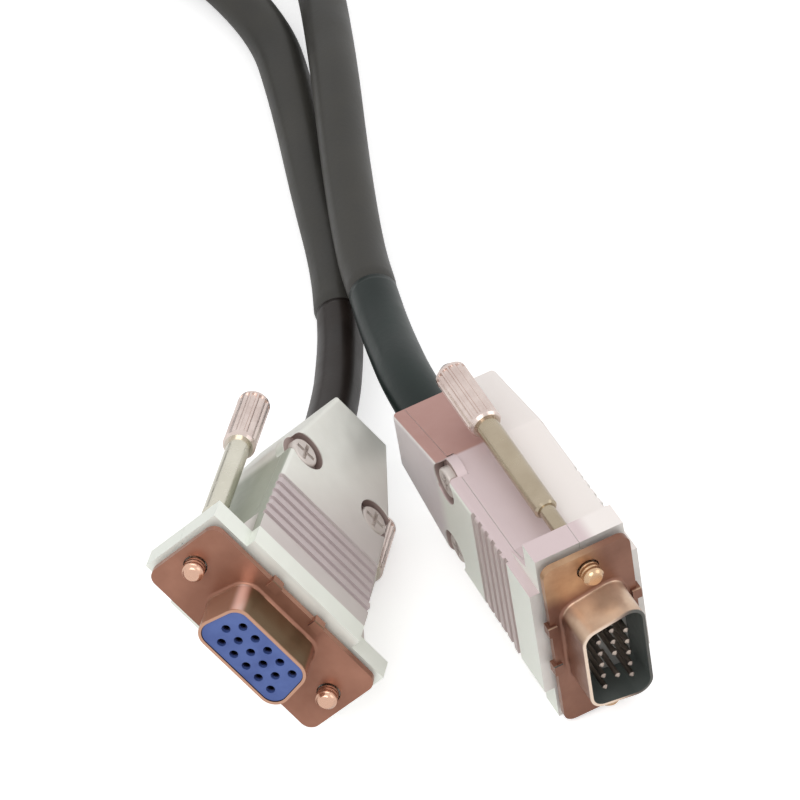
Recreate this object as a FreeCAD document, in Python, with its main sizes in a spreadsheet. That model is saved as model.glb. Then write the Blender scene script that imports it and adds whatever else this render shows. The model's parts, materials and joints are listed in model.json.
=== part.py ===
import FreeCAD, Part
import math
import os
import Sketcher
from FreeCAD import Placement, Rotation, Vector

# A video extension lead: one end carries a 15-way plug with a two-half metal hood,
# the other a 15-way socket with the same hood. Millimetres, +Z up. The origin is the
# middle of the plug's mating face, and the plug faces -Y. Each connector is modelled
# in a frame of its own: x along the long side, y towards the wide side of the D,
# z out of the mating face. The cover half of the hood is on the -y side.

os.makedirs("parts", exist_ok=True)
doc = FreeCAD.newDocument("vga_extension_lead")
sheet = doc.addObject("Spreadsheet::Sheet", "Sizes")

SIZES = {
    # flange and shells of the D connector
    "flange_length": 30.8, "flange_width": 12.6, "flange_sheet": 0.5, "flange_corner": 1.6,
    "screw_spacing": 25.0, "flange_hole": 3.2, "shell_height": 6.0, "shell_sheet": 0.4,
    "shell_flank": 10.0, "shell_corner": 2.3, "shell_root": 0.5,
    "plug_shell_length": 17.7, "plug_shell_width": 9.1,
    "socket_shell_length": 16.3, "socket_shell_width": 7.9,
    "pan_length": 19.2, "pan_width": 10.8, "pan_depth": 4.4, "pan_corner": 1.2,
    "tab_width": 1.7, "tab_pitch": 7.8, "tab_lap": 0.8,
    # insulators and contacts
    "fit": 0.05, "plug_insert_face": 0.4, "socket_insert_drop": 0.15, "rear_block_depth": 3.9,
    "contact_pitch": 2.29, "contact_row": 1.98, "pin_size": 0.76, "pin_reach": 5.3,
    "sleeve_size": 1.3, "sleeve_bore": 0.86, "sleeve_drop": 0.6, "mouth_size": 1.2,
    "tail_size": 0.9, "tail_end": 8.5,
    # hood
    "hood_front": 1.8, "hood_rear": 44.0, "hood_shoulder": 29.5, "hood_front_half": 9.85,
    "hood_shoulder_half": 9.05, "hood_rear_half": 5.0, "hood_thickness": 15.7, "hood_wall": 1.4,
    "cover_depth": 1.9, "hood_edge": 0.7, "ear_half": 15.9, "ear_width": 12.8, "ear_depth": 3.6,
    "ramp_top": 11.4, "ramp_foot": 10.0, "collar_depth": 4.6, "lobe_depth": 8.4, "lobe_slant": 3.0,
    "band_start": 8.6, "rib_pitch": 1.9, "rib_gap": 0.85, "rib_depth": 0.4, "rib_count": 6.0,
    "clamp_setback": 39.0, "clamp_rib": 1.6,
    # screws that hold the hood together
    "hood_screw_spot": 6.75, "hood_screw_setback": 27.6, "recess_size": 5.9, "recess_depth": 1.5,
    "lug_size": 6.3, "lug_depth": 2.9, "pillar_size": 4.3, "hood_screw_size": 2.5,
    "hood_head_size": 4.4, "hood_head_height": 1.2, "hood_slot": 0.6, "nut_size": 4.2, "nut_height": 1.4,
    # captive thumbscrews
    "knob_size": 4.5, "knob_rear": 41.0, "knob_front": 28.9, "shank_size": 3.2, "shank_front": 11.6,
    "neck_size": 2.2, "thread_start": 0.1, "thread_size": 2.84, "tip_reach": 2.2, "flute_depth": 0.22,
    "flute_count": 14.0, "knob_round": 1.3, "tip_bevel": 0.5,
    # cable
    "boot_size": 7.7, "boot_end_size": 6.6, "boot_inside": 37.0, "ferrule_size": 8.4,
    "ferrule_length": 3.0, "wire_size": 0.85, "wire_gather_x": 0.42, "wire_gather_y": 0.48,
    "cable_size": 7.2, "coil_middle": 80.0,
    # where the cable leaves each hood, off its middle and towards the wide side of the D
    "plug_outlet": -2.2, "socket_outlet": 0.0,
    # how the two ends lie
    "plug_lean": 7.8, "socket_yaw": -35.6, "socket_tilt": 12.5, "socket_roll": 45.9,
    "socket_x": -40.23, "socket_y": 16.8, "socket_rise": 2.68,
}
for row, (name, number) in enumerate(SIZES.items(), start=1):
    sheet.set("A%d" % row, name)
    sheet.set("B%d" % row, str(number))
    sheet.setAlias("B%d" % row, name)
doc.recompute()


def val(name):
    return float(sheet.get(name))


def bound(words):
    """Put the sheet's name in front of each size that an expression mentions."""
    out = words
    for name in sorted(SIZES, key=len, reverse=True):
        out = out.replace("{" + name + "}", "Sizes." + name)
    return out


def number(words):
    text = words
    for name in SIZES:
        text = text.replace("{" + name + "}", "(%r)" % val(name))
    quantity = sheet.evalExpression(text)
    return float(quantity)


# Sketches and features

def new_body(label, place):
    body = doc.addObject("PartDesign::Body", label)
    body.Label = label
    body.Placement = place
    if hasattr(body, "AllowCompound"):
        body.AllowCompound = True
    return body


def new_sketch(body, role, offset=None):
    sk = body.newObject("Sketcher::SketchObject", body.Name + "_sketch")
    planes = [f for f in body.Origin.OriginFeatures if f.Role == role]
    sk.AttachmentSupport = [(planes[0], "")]
    sk.MapMode = "FlatFace"
    if offset is not None:
        sk.setExpression("AttachmentOffset.Base.z", bound(offset))
    return sk


def pin_point(sk, geo, pos, x, y):
    for kind, words in (("DistanceX", x), ("DistanceY", y)):
        index = sk.addConstraint(Sketcher.Constraint(kind, -1, 1, geo, pos, number(words)))
        sk.setExpression("Constraints[%d]" % index, bound(words))


def polygon(sk, points):
    """Closed outline through points given as pairs of expressions."""
    spots = [Vector(number(x), number(y), 0) for x, y in points]
    first = sk.GeometryCount
    count = len(points)
    for i in range(count):
        sk.addGeometry(Part.LineSegment(spots[i], spots[(i + 1) % count]), False)
    for i in range(count):
        after = first + (i + 1) % count
        sk.addConstraint(Sketcher.Constraint("Coincident", first + i, 2, after, 1))
    for i in range(count):
        pin_point(sk, first + i, 1, *points[i])


def rectangle(sk, x0, x1, y0, y1):
    polygon(sk, [(x0, y0), (x1, y0), (x1, y1), (x0, y1)])


def rounded(sk, points, radius):
    """Outline with round corners: tangent arcs inside a construction polygon.

    The points run anticlockwise and the outline is convex."""
    first = sk.GeometryCount
    polygon(sk, points)
    count = len(points)
    spots = [Vector(number(x), number(y), 0) for x, y in points]
    size = number(radius)
    lines, arcs = [], []
    ends = []
    for i, spot in enumerate(spots):
        sk.setConstruction(first + i, True)
        into = (spot - spots[i - 1]).normalize()
        out = (spots[(i + 1) % count] - spot).normalize()
        cut = size * math.tan(into.getAngle(out) / 2)
        ends.append((spot - into * cut, spot + out * cut, into, out))
    for i in range(count):
        lines.append(sk.addGeometry(Part.LineSegment(ends[i][1], ends[(i + 1) % count][0]), False))
    for start, stop, into, out in ends:
        centre = start + Vector(-into.y, into.x, 0) * size
        angles = [math.atan2(p.y - centre.y, p.x - centre.x) for p in (start, stop)]
        arcs.append(sk.addGeometry(Part.ArcOfCircle(Part.Circle(centre, Vector(0, 0, 1), size),
                                                    *angles), False))
    for i in range(count):
        for end in (1, 2):
            sk.addConstraint(Sketcher.Constraint("PointOnObject", lines[i], end, first + i))
    for i in range(count):
        sk.addConstraint(Sketcher.Constraint("Tangent", lines[i - 1], 2, arcs[i], 1))
        sk.addConstraint(Sketcher.Constraint("Tangent", arcs[i], 2, lines[i], 1))
        index = sk.addConstraint(Sketcher.Constraint("Radius", arcs[i], size))
        sk.setExpression("Constraints[%d]" % index, bound(radius))


def rounded_plate(sk, length, width, corner, inset="0"):
    x, y = "(%s / 2 - (%s))" % (length, inset), "(%s / 2 - (%s))" % (width, inset)
    rounded(sk, [("-" + x, "-" + y), (x, "-" + y), (x, y), ("-" + x, y)],
            "%s - (%s)" % (corner, inset))


def circle(sk, x, y, diameter):
    geo = sk.addGeometry(Part.Circle(Vector(number(x), number(y), 0), Vector(0, 0, 1),
                                     number(diameter) / 2), False)
    pin_point(sk, geo, 3, x, y)
    index = sk.addConstraint(Sketcher.Constraint("Diameter", geo, number(diameter)))
    sk.setExpression("Constraints[%d]" % index, bound(diameter))


def extrude(body, kind, sk, length, reverse=False):
    feature = body.newObject("PartDesign::" + kind, body.Name + "_" + kind.lower())
    feature.Profile = sk
    feature.setExpression("Length", bound(length))
    feature.Reversed = reverse
    sk.Visibility = False
    return settled(body, feature)


def pad(body, sk, length, reverse=False):
    return extrude(body, "Pad", sk, length, reverse)


def pocket(body, sk, length, reverse=False):
    before = body.Shape.Volume
    feature = extrude(body, "Pocket", sk, length, reverse)
    if body.Shape.Volume > before - 1e-6:
        raise ValueError("a pocket in %s cuts nothing" % body.Label)
    return feature


def dress(body, kind, size, test):
    """Fillet or Chamfer on the edges that the test picks."""
    base = body.Tip
    names = ["Edge%d" % (i + 1) for i, e in enumerate(base.Shape.Edges) if test(e)]
    feature = body.newObject("PartDesign::" + kind, body.Name + "_" + kind.lower())
    feature.Base = (base, names)
    feature.setExpression("Radius" if kind == "Fillet" else "Size", bound(size))
    return settled(body, feature)


def along(edge, axis):
    a, b = edge.Vertexes[0].Point, edge.Vertexes[-1].Point
    return len(edge.Vertexes) == 2 and (b - a).Length > 1e-6 and \
        abs(abs((b - a).normalize().dot(axis)) - 1) < 1e-6


def middle(edge):
    return edge.valueAt((edge.FirstParameter + edge.LastParameter) / 2)


def revolved(body, points):
    """Solid turned about z from (radius, height) pairs."""
    sk = new_sketch(body, "XZ_Plane")
    polygon(sk, points)
    turn = body.newObject("PartDesign::Revolution", body.Name + "_turned")
    turn.Profile = sk
    turn.ReferenceAxis = (sk, ["V_Axis"])
    turn.Angle = 360
    sk.Visibility = False
    return settled(body, turn)


X, Y, Z = Vector(1, 0, 0), Vector(0, 1, 0), Vector(0, 0, 1)


# Where the two connectors lie

def plug_place():
    facing = Rotation(X, 90)
    upright = Rotation(Y, 90)
    lean = Rotation(Y, -val("plug_lean"))
    return Placement(Vector(0, 0, 0), lean.multiply(upright).multiply(facing))


def socket_place():
    yaw, tilt = math.radians(val("socket_yaw")), math.radians(val("socket_tilt"))
    out = Vector(math.sin(yaw) * math.cos(tilt), -math.cos(yaw) * math.cos(tilt), math.sin(tilt))
    up = (Z - out * out.dot(Z)).normalize()
    across = out.cross(-up)
    roll = math.radians(val("socket_roll"))
    long_way = -up * math.cos(roll) + across * math.sin(roll)
    short_way = up * math.sin(roll) + across * math.cos(roll)
    turn = Rotation(-long_way, -short_way, out, "ZXY")
    return Placement(Vector(val("socket_x"), val("socket_y"), val("socket_rise")), turn)


def floor_height():
    lean = math.radians(val("plug_lean"))
    return -(val("ear_half") * math.cos(lean) + val("ear_width") / 2 * math.sin(lean))


# The D connector

def d_outline(length, width, inset="0"):
    """Corners of the D, anticlockwise, wide side up, as expressions."""
    flank = "tan({shell_flank})"
    half = "(%s / 2 - (%s))" % (width, inset)
    mean = "(%s / 2 - %s / 2 * %s - (%s) / cos({shell_flank}))" % (length, width, flank, inset)
    wide = "(%s + %s * %s)" % (mean, half, flank)
    slim = "(%s - %s * %s)" % (mean, half, flank)
    return [("-" + wide, half), ("-" + slim, "-" + half), (slim, "-" + half), (wide, half)]


def settled(body, feature):
    """Recompute, and stop if the feature did not come out."""
    doc.recompute()
    if "Invalid" in feature.State or "Error" in feature.State:
        raise ValueError("%s failed in %s" % (feature.Name, body.Label))
    return feature


def screw_holes(sk, size):
    for sign in ("-", ""):
        circle(sk, sign + "{screw_spacing} / 2", "0", size)


def front_shell(label, place, length, width):
    """Flange and D-shaped shell, drawn from one sheet."""
    body = new_body(label, place)
    sk = new_sketch(body, "XY_Plane")
    rounded_plate(sk, "{flange_length}", "{flange_width}", "{flange_corner}")
    pad(body, sk, "{flange_sheet}", True)
    sk = new_sketch(body, "XY_Plane")
    rounded(sk, d_outline(length, width), "{shell_corner}")
    pad(body, sk, "{shell_height}")
    dress(body, "Fillet", "{shell_root}", lambda e: at_root(e, number(length) / 2))
    sk = new_sketch(body, "XY_Plane", "{shell_height}")
    rounded(sk, d_outline(length, width, "{shell_sheet}"), "{shell_corner} - {shell_sheet}")
    pocket(body, sk, "{shell_height} + {flange_sheet}")
    sk = new_sketch(body, "XY_Plane")
    screw_holes(sk, "{flange_hole}")
    pocket(body, sk, "{flange_sheet}")
    return body


def at_root(edge, reach):
    """Edges where the D rises from the flange's face."""
    box = edge.BoundBox
    return abs(box.ZMax) < 1e-6 and abs(box.ZMin) < 1e-6 and box.XMax < reach + 1e-3 \
        and box.XMin > -reach - 1e-3


def rear_shell(label, place):
    """Second flange sheet with the pan that closes over the insulators."""
    body = new_body(label, place)
    sk = new_sketch(body, "XY_Plane", "-{flange_sheet}")
    rounded_plate(sk, "{flange_length}", "{flange_width}", "{flange_corner}")
    pad(body, sk, "{flange_sheet}", True)
    sk = new_sketch(body, "XY_Plane", "-2 * {flange_sheet}")
    rounded_plate(sk, "{pan_length}", "{pan_width}", "{pan_corner}")
    pad(body, sk, "{pan_depth}", True)
    sk = new_sketch(body, "XY_Plane", "-{flange_sheet}")
    rounded_plate(sk, "{pan_length}", "{pan_width}", "{pan_corner}", "{shell_sheet}")
    pocket(body, sk, "{flange_sheet} + {pan_depth}")
    sk = new_sketch(body, "XY_Plane", "-{flange_sheet}")
    screw_holes(sk, "{flange_hole}")
    pocket(body, sk, "{flange_sheet}")
    clinch_tabs(body)
    return body


def clinch_tabs(body):
    """Strips of the rear sheet that fold round the front flange's long edges."""
    edge = "({flange_width} / 2)"
    for sign in ("-", ""):
        for step in ("-0.5", "0.5"):
            sk = new_sketch(body, "YZ_Plane", step + " * {tab_pitch} - {tab_width} / 2")
            outside = sign + "(" + edge + " + {flange_sheet})"
            polygon(sk, [(sign + edge, "-2 * {flange_sheet}"), (outside, "-2 * {flange_sheet}"),
                         (outside, "{flange_sheet}"), (sign + "(" + edge + " - {tab_lap})",
                                                       "{flange_sheet}"),
                         (sign + "(" + edge + " - {tab_lap})", "0"), (sign + edge, "0")])
            pad(body, sk, "{tab_width}")


def contact_spots(offset_sign, skip=None):
    """Row, place and expressions of each contact, row 1 on the wide side."""
    spots = []
    for row in (1, 0, -1):
        for i in range(5):
            half = "-" if row else ""
            x = "(%d) * {contact_pitch} + (%s{contact_pitch} / 4) * %d" % (i - 2, half, offset_sign)
            spots.append((x, "%d * {contact_row}" % row))
    if skip is not None:
        del spots[skip]
    return spots


def plug_insert(label, place, spots):
    body = new_body(label, place)
    inset = "{shell_sheet} + {fit}"
    sk = new_sketch(body, "XY_Plane", "-{flange_sheet}")
    rounded(sk, d_outline("{plug_shell_length}", "{plug_shell_width}", inset),
            "{shell_corner} - {shell_sheet}")
    pad(body, sk, "{flange_sheet} + {plug_insert_face}")
    insert_lip(body)
    bores(body, spots, "{plug_insert_face}", "{pin_size} + 2 * {fit}",
          "{plug_insert_face} + 2 * {flange_sheet}")
    return body


def insert_lip(body):
    """Lip that the two shells grip between them."""
    sk = new_sketch(body, "XY_Plane", "-{flange_sheet}")
    rounded_plate(sk, "{pan_length}", "{pan_width}", "{pan_corner}", "{shell_sheet} + {fit}")
    pad(body, sk, "{flange_sheet}", True)


def bores(body, spots, top, size, depth):
    sk = new_sketch(body, "XY_Plane", top)
    for x, y in spots:
        circle(sk, x, y, size)
    pocket(body, sk, depth)


def socket_insert(label, place, spots):
    body = new_body(label, place)
    inset = "{shell_sheet} + {fit}"
    sk = new_sketch(body, "XY_Plane", "-{flange_sheet}")
    rounded(sk, d_outline("{socket_shell_length}", "{socket_shell_width}", inset),
            "{shell_corner} - {shell_sheet}")
    pad(body, sk, "{flange_sheet} + {shell_height} - {socket_insert_drop}")
    insert_lip(body)
    top = "{shell_height} - {socket_insert_drop}"
    bores(body, spots, top, "{mouth_size}", "{sleeve_drop}")
    bores(body, spots, top + " - {sleeve_drop}", "{sleeve_size} + 2 * {fit}",
          top + " - {sleeve_drop} + 2 * {flange_sheet}")
    return body


def rear_block(label, place, spots, size):
    """Second insulator, which holds the contacts from behind."""
    body = new_body(label, place)
    sk = new_sketch(body, "XY_Plane", "-2 * {flange_sheet}")
    rounded_plate(sk, "{pan_length}", "{pan_width}", "{pan_corner}", "{shell_sheet} + {fit}")
    pad(body, sk, "{rear_block_depth}", True)
    bores(body, spots, "-2 * {flange_sheet}", size + " + 2 * {fit}", "{rear_block_depth}")
    return body


def contacts(label, place, spots, top, size, bore=None):
    """All contacts of one end, each a separate turned solid with a solder tail."""
    body = new_body(label, place)
    back = "2 * {flange_sheet} + {rear_block_depth}"
    sk = new_sketch(body, "XY_Plane", top)
    for x, y in spots:
        circle(sk, x, y, size)
    pad(body, sk, top + " + " + back, True)
    if bore:
        bores(body, spots, top, bore, top)
    else:
        tip = number(top)
        dress(body, "Chamfer", "{pin_size} * 0.3", lambda e: abs(e.BoundBox.ZMin - tip) < 1e-6)
    sk = new_sketch(body, "XY_Plane", "-(" + back + ")")
    for x, y in spots:
        circle(sk, x, y, "{tail_size}")
    pad(body, sk, "{tail_end} - (" + back + ")", True)
    return body


# The two halves of the hood

def hood_outline():
    half = [("{ear_half}", "-{hood_front}"), ("{ear_half}", "-({hood_front} + {ear_depth})"),
            ("{ramp_top}", "-({hood_front} + {ear_depth})"), ("{hood_front_half}", "-{ramp_foot}"),
            ("{hood_shoulder_half}", "-{hood_shoulder}"), ("{hood_rear_half}", "-{hood_rear}")]
    mirrored = [("-" + x, z) for x, z in reversed(half)]
    return half + mirrored


def cavity_outline():
    wall = "{hood_wall}"
    rear = "{hood_rear_half} + 0.2 * {hood_wall}"
    half = [("{hood_front_half} - " + wall, "-({hood_front} + {collar_depth})"),
            ("{hood_shoulder_half} - " + wall, "-{hood_shoulder}"),
            (rear + " - " + wall, "-({hood_rear} - {hood_wall})")]
    mirrored = [("-(" + x + ")", z) for x, z in reversed(half)]
    return half + mirrored


def on_outer_face(edge, y):
    box = edge.BoundBox
    return abs(box.YMin - y) < 1e-6 and abs(box.YMax - y) < 1e-6 and box.ZMin < -val("ramp_foot") - 1


def ear_trim(body, side, from_y, depth):
    """The ears are thinner than the hood, so their outer side is cut back."""
    for sign in ("-", ""):
        sk = new_sketch(body, "XZ_Plane", from_y)
        rectangle(sk, sign + "{hood_front_half}", sign + "({ear_half} + 1)", "-({ramp_foot} + 1)", "0")
        pocket(body, sk, depth, side)


def grip_ribs(body, face_offset, reverse):
    """Grooves across the big face that leave the grip's ribs standing."""
    for i in range(int(val("rib_count"))):
        sk = new_sketch(body, "XZ_Plane", face_offset)
        start = "({band_start} + %d * {rib_pitch})" % i
        rectangle(sk, "-({hood_front_half} + 1)", "{hood_front_half} + 1",
                  "-(" + start + " + {rib_gap})", "-" + start)
        pocket(body, sk, "{rib_depth}", reverse)


def z_bore(body, x, y, size, start, depth):
    sk = new_sketch(body, "XY_Plane", start)
    circle(sk, x, y, size)
    pocket(body, sk, depth)


def hood_bores(body):
    """Window for the rear pan and holes for the necks of the thumbscrews."""
    sk = new_sketch(body, "XY_Plane", "-{hood_front}")
    rectangle(sk, "-({pan_length} / 2 + {fit})", "{pan_length} / 2 + {fit}",
              "-({pan_width} / 2 + {fit})", "{pan_width} / 2 + {fit}")
    pocket(body, sk, "{collar_depth}")
    for sign in ("-", ""):
        z_bore(body, sign + "{screw_spacing} / 2", "0", "{neck_size} + 0.2", "-{hood_front}",
               "{ramp_foot}")


def cable_tongue(body, outlet):
    """Tongue of the cover that closes the tray's slot round the cable."""
    sk = new_sketch(body, "XY_Plane", "-({hood_rear} - {hood_wall})")
    rectangle(sk, "-{boot_size} / 2", "{boot_size} / 2",
              "-({hood_thickness} / 2 - {cover_depth} + 0.5)", outlet)
    pad(body, sk, "{hood_wall}", True)
    cable_bore(body, outlet)


def cable_slot(body, outlet):
    sk = new_sketch(body, "XY_Plane", "-({hood_rear} - 2 * {hood_wall})")
    half = "({boot_size} / 2 + {fit})"
    rectangle(sk, "-" + half, half, "-{hood_thickness} / 2", outlet)
    pocket(body, sk, "3 * {hood_wall}")
    cable_bore(body, outlet)


def cable_bore(body, outlet):
    z_bore(body, "0", outlet, "{boot_size} + 2 * {fit}", "-({hood_rear} - 2 * {hood_wall})",
           "3 * {hood_wall}")


def clamp_rib(body, outlet, side, wide):
    """Rib with a half-round seat that grips the ferrule, on the y side that is given."""
    tray = side > 0
    sk = new_sketch(body, "XZ_Plane", "%d * ({hood_thickness} / 2 - {hood_wall})" % -side)
    rectangle(sk, "-" + wide, wide, "-({clamp_setback} + {clamp_rib})", "-{clamp_setback}")
    pad(body, sk, "{hood_thickness} / 2 - {hood_wall} - 1.2 - %d * %s" % (side, outlet), not tray)
    z_bore(body, "0", outlet, "{ferrule_size} + 2 * {fit}", "-({clamp_setback} - 0.1)",
           "{clamp_rib} + 0.2")


def hood_cover(label, place, outlet):
    """Shallow half: the big face on the narrow side of the D, with half of each ear."""
    body = new_body(label, place)
    sk = new_sketch(body, "XZ_Plane")
    polygon(sk, hood_outline())
    pad(body, sk, "{hood_thickness} / 2")
    dress(body, "Fillet", "{hood_edge}", lambda e: on_outer_face(e, -val("hood_thickness") / 2))
    ear_trim(body, True, "{ear_width} / 2", "{hood_thickness}")
    seam = "-({hood_thickness} / 2 - {cover_depth})"
    sk = new_sketch(body, "YZ_Plane", "-({ear_half} + 1)")
    polygon(sk, [("1", "-({hood_front} + {lobe_depth})"),
                 (seam + " + {lobe_slant}", "-({hood_front} + {lobe_depth})"),
                 (seam, "-({hood_front} + {lobe_depth} - {lobe_slant})"),
                 (seam, "-({hood_rear} + 1)"), ("1", "-({hood_rear} + 1)")])
    pocket(body, sk, "2 * {ear_half} + 2", True)
    sk = new_sketch(body, "XZ_Plane")
    polygon(sk, cavity_outline())
    pocket(body, sk, "{hood_thickness} / 2 - {hood_wall}", True)
    hood_bores(body)
    cable_tongue(body, outlet)
    clamp_rib(body, outlet, -1, "({hood_rear_half} - {hood_wall} / 2)")
    grip_ribs(body, "{hood_thickness} / 2", False)
    screw_lugs(body)
    return body


def screw_lugs(body):
    """Counterbored lugs that carry the two assembly screws, open at the narrow sides."""
    for sign in ("-", ""):
        x = sign + "{hood_screw_spot}"
        sk = new_sketch(body, "XZ_Plane", "{hood_thickness} / 2 - {recess_depth}")
        circle(sk, x, "-{hood_screw_setback}", "{lug_size}")
        pad(body, sk, "{lug_depth} - {recess_depth}", True)
        sk = new_sketch(body, "XZ_Plane", "{hood_thickness} / 2")
        circle(sk, x, "-{hood_screw_setback}", "{recess_size}")
        pocket(body, sk, "{recess_depth}")
        sk = new_sketch(body, "XZ_Plane", "{hood_thickness} / 2")
        circle(sk, x, "-{hood_screw_setback}", "{hood_screw_size} + 2 * {fit}")
        pocket(body, sk, "{lug_depth} + 1")


def hood_tray(label, place, outlet):
    """Deep half: the narrow sides, the other big face and the other half of each ear."""
    body = new_body(label, place)
    seam = "({hood_thickness} / 2 - {cover_depth} - {fit})"
    sk = new_sketch(body, "XZ_Plane", seam)
    polygon(sk, hood_outline())
    pad(body, sk, "{hood_thickness} / 2 + " + seam, True)
    dress(body, "Fillet", "{hood_edge}", lambda e: on_outer_face(e, val("hood_thickness") / 2))
    ear_trim(body, False, "-{ear_width} / 2", "{hood_thickness}")
    sk = new_sketch(body, "YZ_Plane", "-({ear_half} + 1)")
    low = "-({hood_thickness} / 2 - {cover_depth})"
    gap = "{fit}"
    polygon(sk, [(gap, "1"), (gap, "-({hood_front} + {lobe_depth} + " + gap + ")"),
                 (low + " + {lobe_slant}", "-({hood_front} + {lobe_depth} + " + gap + ")"),
                 (low, "-({hood_front} + {lobe_depth} - {lobe_slant} + 1.5 * " + gap + ")"),
                 (low + " - 1", "-({hood_front} + {lobe_depth} - {lobe_slant} + 1.5 * " + gap + ")"),
                 (low + " - 1", "1")])
    pocket(body, sk, "2 * {ear_half} + 2", True)
    sk = new_sketch(body, "XZ_Plane", seam)
    polygon(sk, cavity_outline())
    pocket(body, sk, seam + " + {hood_thickness} / 2 - {hood_wall}")
    hood_bores(body)
    cable_slot(body, outlet)
    clamp_rib(body, outlet, 1, "({hood_rear_half} + {hood_wall} / 2)")
    grip_ribs(body, "-{hood_thickness} / 2", True)
    nut_pillars(body, seam)
    return body


def nut_pillars(body, seam):
    """Pillars under the lugs, with a hexagonal seat for each nut in the far face."""
    top = "({hood_thickness} / 2 - {lug_depth} - {fit})"
    for sign in ("-", ""):
        x = sign + "{hood_screw_spot}"
        z = "-{hood_screw_setback}"
        sk = new_sketch(body, "XZ_Plane", top)
        circle(sk, x, z, "{pillar_size}")
        pad(body, sk, top + " + {hood_thickness} / 2 - {hood_wall}", True)
        sk = new_sketch(body, "XZ_Plane", seam)
        circle(sk, x, z, "{lug_size} + 4 * {fit}")
        pocket(body, sk, "{lug_depth} - {cover_depth}")
        sk = new_sketch(body, "XZ_Plane", top)
        circle(sk, x, z, "{hood_screw_size} + 2 * {fit}")
        pocket(body, sk, "{hood_thickness}")
        sk = new_sketch(body, "XZ_Plane", "-{hood_thickness} / 2")
        polygon(sk, hexagon(x, z, "({nut_size} + 2 * {fit})"))
        pocket(body, sk, "{nut_height} + {fit}", True)


def hexagon(x, z, across):
    return [("%s + %s / 2 / cos(30) * cos(%d)" % (x, across, a),
             "%s + %s / 2 / cos(30) * sin(%d)" % (z, across, a)) for a in range(30, 390, 60)]


# Fasteners

def hood_screws(label, place):
    body = new_body(label, place)
    head = "{hood_thickness} / 2 - {recess_depth} + {hood_head_height}"
    z = "-{hood_screw_setback}"
    sk = new_sketch(body, "XZ_Plane", head)
    for sign in ("-", ""):
        circle(sk, sign + "{hood_screw_spot}", z, "{hood_head_size}")
    pad(body, sk, "{hood_head_height}", True)
    rim = -number(head)
    dress(body, "Fillet", "{hood_head_height} / 3", lambda e: abs(e.BoundBox.YMax - rim) < 1e-6)
    sk = new_sketch(body, "XZ_Plane", "{hood_thickness} / 2 - {recess_depth}")
    for sign in ("-", ""):
        circle(sk, sign + "{hood_screw_spot}", z, "{hood_screw_size}")
    pad(body, sk, "{hood_thickness} - {recess_depth} - 0.3", True)
    for sign in ("-", ""):
        spot = sign + "{hood_screw_spot}"
        for x_half, z_half in (("{hood_head_size} * 0.36", "{hood_slot} / 2"),
                               ("{hood_slot} / 2", "{hood_head_size} * 0.36")):
            sk = new_sketch(body, "XZ_Plane", head)
            rectangle(sk, spot + " - " + x_half, spot + " + " + x_half, z + " - " + z_half,
                      z + " + " + z_half)
            pocket(body, sk, "{hood_head_height} / 2")
    return body


def hood_nuts(label, place):
    body = new_body(label, place)
    z = "-{hood_screw_setback}"
    sk = new_sketch(body, "XZ_Plane", "-({hood_thickness} / 2 - {nut_height})")
    for sign in ("-", ""):
        polygon(sk, hexagon(sign + "{hood_screw_spot}", z, "{nut_size}"))
        circle(sk, sign + "{hood_screw_spot}", z, "{hood_screw_size} + 2 * {fit}")
    pad(body, sk, "{nut_height} - 0.1", True)
    return body


def thumbscrew(label, place, side):
    shift = Placement(Vector(side * val("screw_spacing") / 2, 0, 0), Rotation())
    body = new_body(label, place.multiply(shift))
    knob, shank = "{knob_size} / 2", "{shank_size} / 2"
    neck, thread = "{neck_size} / 2", "{thread_size} / 2"
    revolved(body, [("0", "-{knob_rear}"), (knob + " - {knob_round}", "-{knob_rear}"),
                    (knob, "-({knob_rear} - {knob_round})"), (knob, "-({knob_front} + 0.4)"),
                    (knob + " - 0.3", "-{knob_front}"), (shank, "-{knob_front}"),
                    (shank, "-({shank_front} + 0.3)"), (shank + " - 0.3", "-{shank_front}"),
                    (neck, "-{shank_front}"), (neck, "{thread_start}"), (thread, "{thread_start}"),
                    (thread, "{tip_reach} - {tip_bevel}"), (thread + " - {tip_bevel}", "{tip_reach}"),
                    ("0", "{tip_reach}")])
    sk = new_sketch(body, "XY_Plane", "-({knob_front} + 0.8)")
    circle(sk, "{knob_size} / 2 + {flute_depth}", "0", "4 * {flute_depth}")
    flute = pocket(body, sk, "{knob_rear} - {knob_front} - {knob_round} - 1.2")
    turn = body.newObject("PartDesign::PolarPattern", label + "_flutes")
    turn.Originals = [flute]
    axis = [f for f in body.Origin.OriginFeatures if f.Role == "Z_Axis"][0]
    turn.Axis = (axis, [""])
    turn.Angle = 360
    turn.setExpression("Occurrences", "Sizes.flute_count")
    body.Tip = turn
    settled(body, turn)
    return body


# Cable ends inside the hood

def ferrule(label, place, outlet):
    """Crimped ring on the cable, gripped by the two clamp ribs."""
    body = new_body(label, place)
    sk = new_sketch(body, "XY_Plane", "-({clamp_setback} + {clamp_rib} / 2 - {ferrule_length} / 2)")
    circle(sk, "0", outlet, "{ferrule_size}")
    circle(sk, "0", outlet, "{boot_size} + 2 * {fit}")
    pad(body, sk, "{ferrule_length}", True)
    return body


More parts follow.
